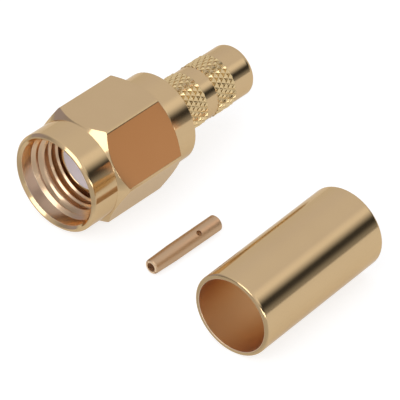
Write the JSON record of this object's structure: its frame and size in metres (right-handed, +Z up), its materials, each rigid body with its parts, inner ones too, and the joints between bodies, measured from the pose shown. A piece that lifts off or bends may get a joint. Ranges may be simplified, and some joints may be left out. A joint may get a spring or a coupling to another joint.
{
  "type": "sma connector",
  "caption": "Straight crimp coaxial plug with a turning hexagonal coupling nut and a knurled crimp stem, its loose centre contact and crimp ferrule lying beside it",
  "frame": {"origin": "middle of the set's bounding box, on the surface that the pieces lie on", "axes": "+Z up from the surface; +Y along the plug's axis from its mating end to its cable end; +X from the plug across to the loose ferrule"},
  "size_m": [0.0264, 0.0214, 0.008],
  "materials": {
    "nut_gold": "polished gold plate on brass",
    "ring_bronze": "plain phosphor bronze",
    "gasket_silicone": "moulded silicone rubber",
    "body_gold": "polished gold plate on brass, knurled bands",
    "dielectric_white": "machined white fluoropolymer",
    "contact_gold": "satin gold plate on beryllium copper",
    "ferrule_gold": "polished gold plate on annealed brass"
  },
  "bodies": {
    "plug": {"connector_body": "body_gold", "dielectric": "dielectric_white", "retaining_ring": "ring_bronze", "sealing_gasket": "gasket_silicone", "center_contact": "contact_gold", "crimp_ferrule": "ferrule_gold"},
    "nut": {"coupling_nut": "nut_gold"}
  },
  "joints": [
    {"name": "nut_turn", "type": "hinge", "parent": "plug", "child": "nut", "pos_m": [-0.00864, -0.00851, 0.004], "axis": [0, 1, 0], "continuous": true}
  ]
}
